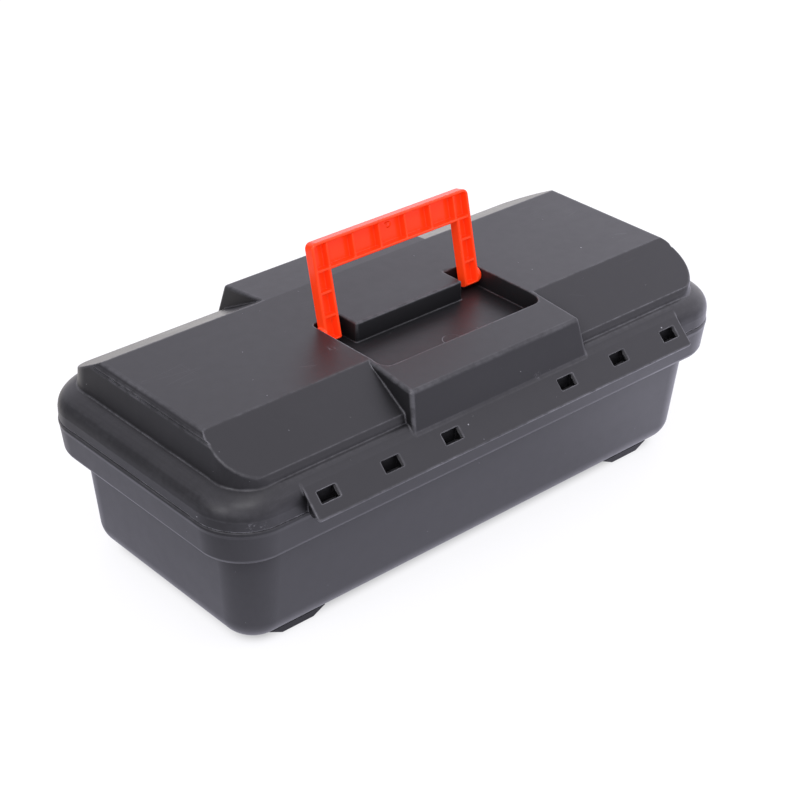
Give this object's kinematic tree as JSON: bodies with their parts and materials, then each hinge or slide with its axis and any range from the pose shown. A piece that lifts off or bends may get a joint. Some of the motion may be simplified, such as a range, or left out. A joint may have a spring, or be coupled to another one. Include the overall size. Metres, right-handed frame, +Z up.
{
  "type": "battery box",
  "caption": "Hinged plastic carry case for a battery: drafted base tub, lid with folding bail handle, rear flange hinge, front latches and a lift-out cable tray.",
  "frame": {"origin": "on the ground plane under the middle of the base", "axes": "+X along the case to the right, -Y is the hinge side, +Y is the latch side, +Z up"},
  "size_m": [0.3966, 0.2122, 0.1878],
  "materials": {
    "case_plastic": "satin moulded, fine grain",
    "foot_plastic": "matte moulded",
    "handle_plastic": "glossy moulded",
    "steel": "bright drawn wire",
    "tray_plastic": "matte moulded",
    "divider_plastic": "satin moulded",
    "mat_rubber": "ribbed matte rubber",
    "block_foam": "closed-cell foam, matte"
  },
  "bodies": {
    "base": {"base_tub": "case_plastic", "foot_rear_left": "foot_plastic", "foot_rear_right": "foot_plastic", "foot_front_left": "foot_plastic", "foot_front_right": "foot_plastic", "cable_tray": "tray_plastic", "tray_divider_left": "divider_plastic", "tray_divider_middle": "divider_plastic", "tray_divider_right": "divider_plastic", "battery_mat": "mat_rubber", "end_block_left": "block_foam", "end_block_right": "block_foam"},
    "lid": {"lid_shell": "case_plastic", "hinge_rod": "steel", "latch_pin_left": "steel", "latch_pin_right": "steel"},
    "handle": {"carry_handle": "handle_plastic"},
    "latch_left": {"latch_left": "handle_plastic"},
    "latch_right": {"latch_right": "handle_plastic"},
    "tray_grip": {"tray_grip": "tray_plastic"}
  },
  "joints": [
    {"name": "lid_hinge", "type": "hinge", "parent": "base", "child": "lid", "pos_m": [0, -0.0975, 0.0948], "axis": [1, 0, 0], "range_deg": [0, 105]},
    {"name": "handle_fold", "type": "hinge", "parent": "lid", "child": "handle", "pos_m": [0, -0.002, 0.133], "axis": [1, 0, 0], "range_deg": [-18, 103]},
    {"name": "latch_left_swing", "type": "hinge", "parent": "lid", "child": "latch_left", "pos_m": [-0.112, 0.0984, 0.1038], "axis": [1, 0, 0], "range_deg": [0, 100]},
    {"name": "latch_right_swing", "type": "hinge", "parent": "lid", "child": "latch_right", "pos_m": [0.112, 0.0984, 0.1038], "axis": [1, 0, 0], "range_deg": [0, 100]},
    {"name": "tray_grip_fold", "type": "hinge", "parent": "base", "child": "tray_grip", "pos_m": [0, -0.013, 0.08835], "axis": [1, 0, 0], "range_deg": [0, 90]}
  ]
}
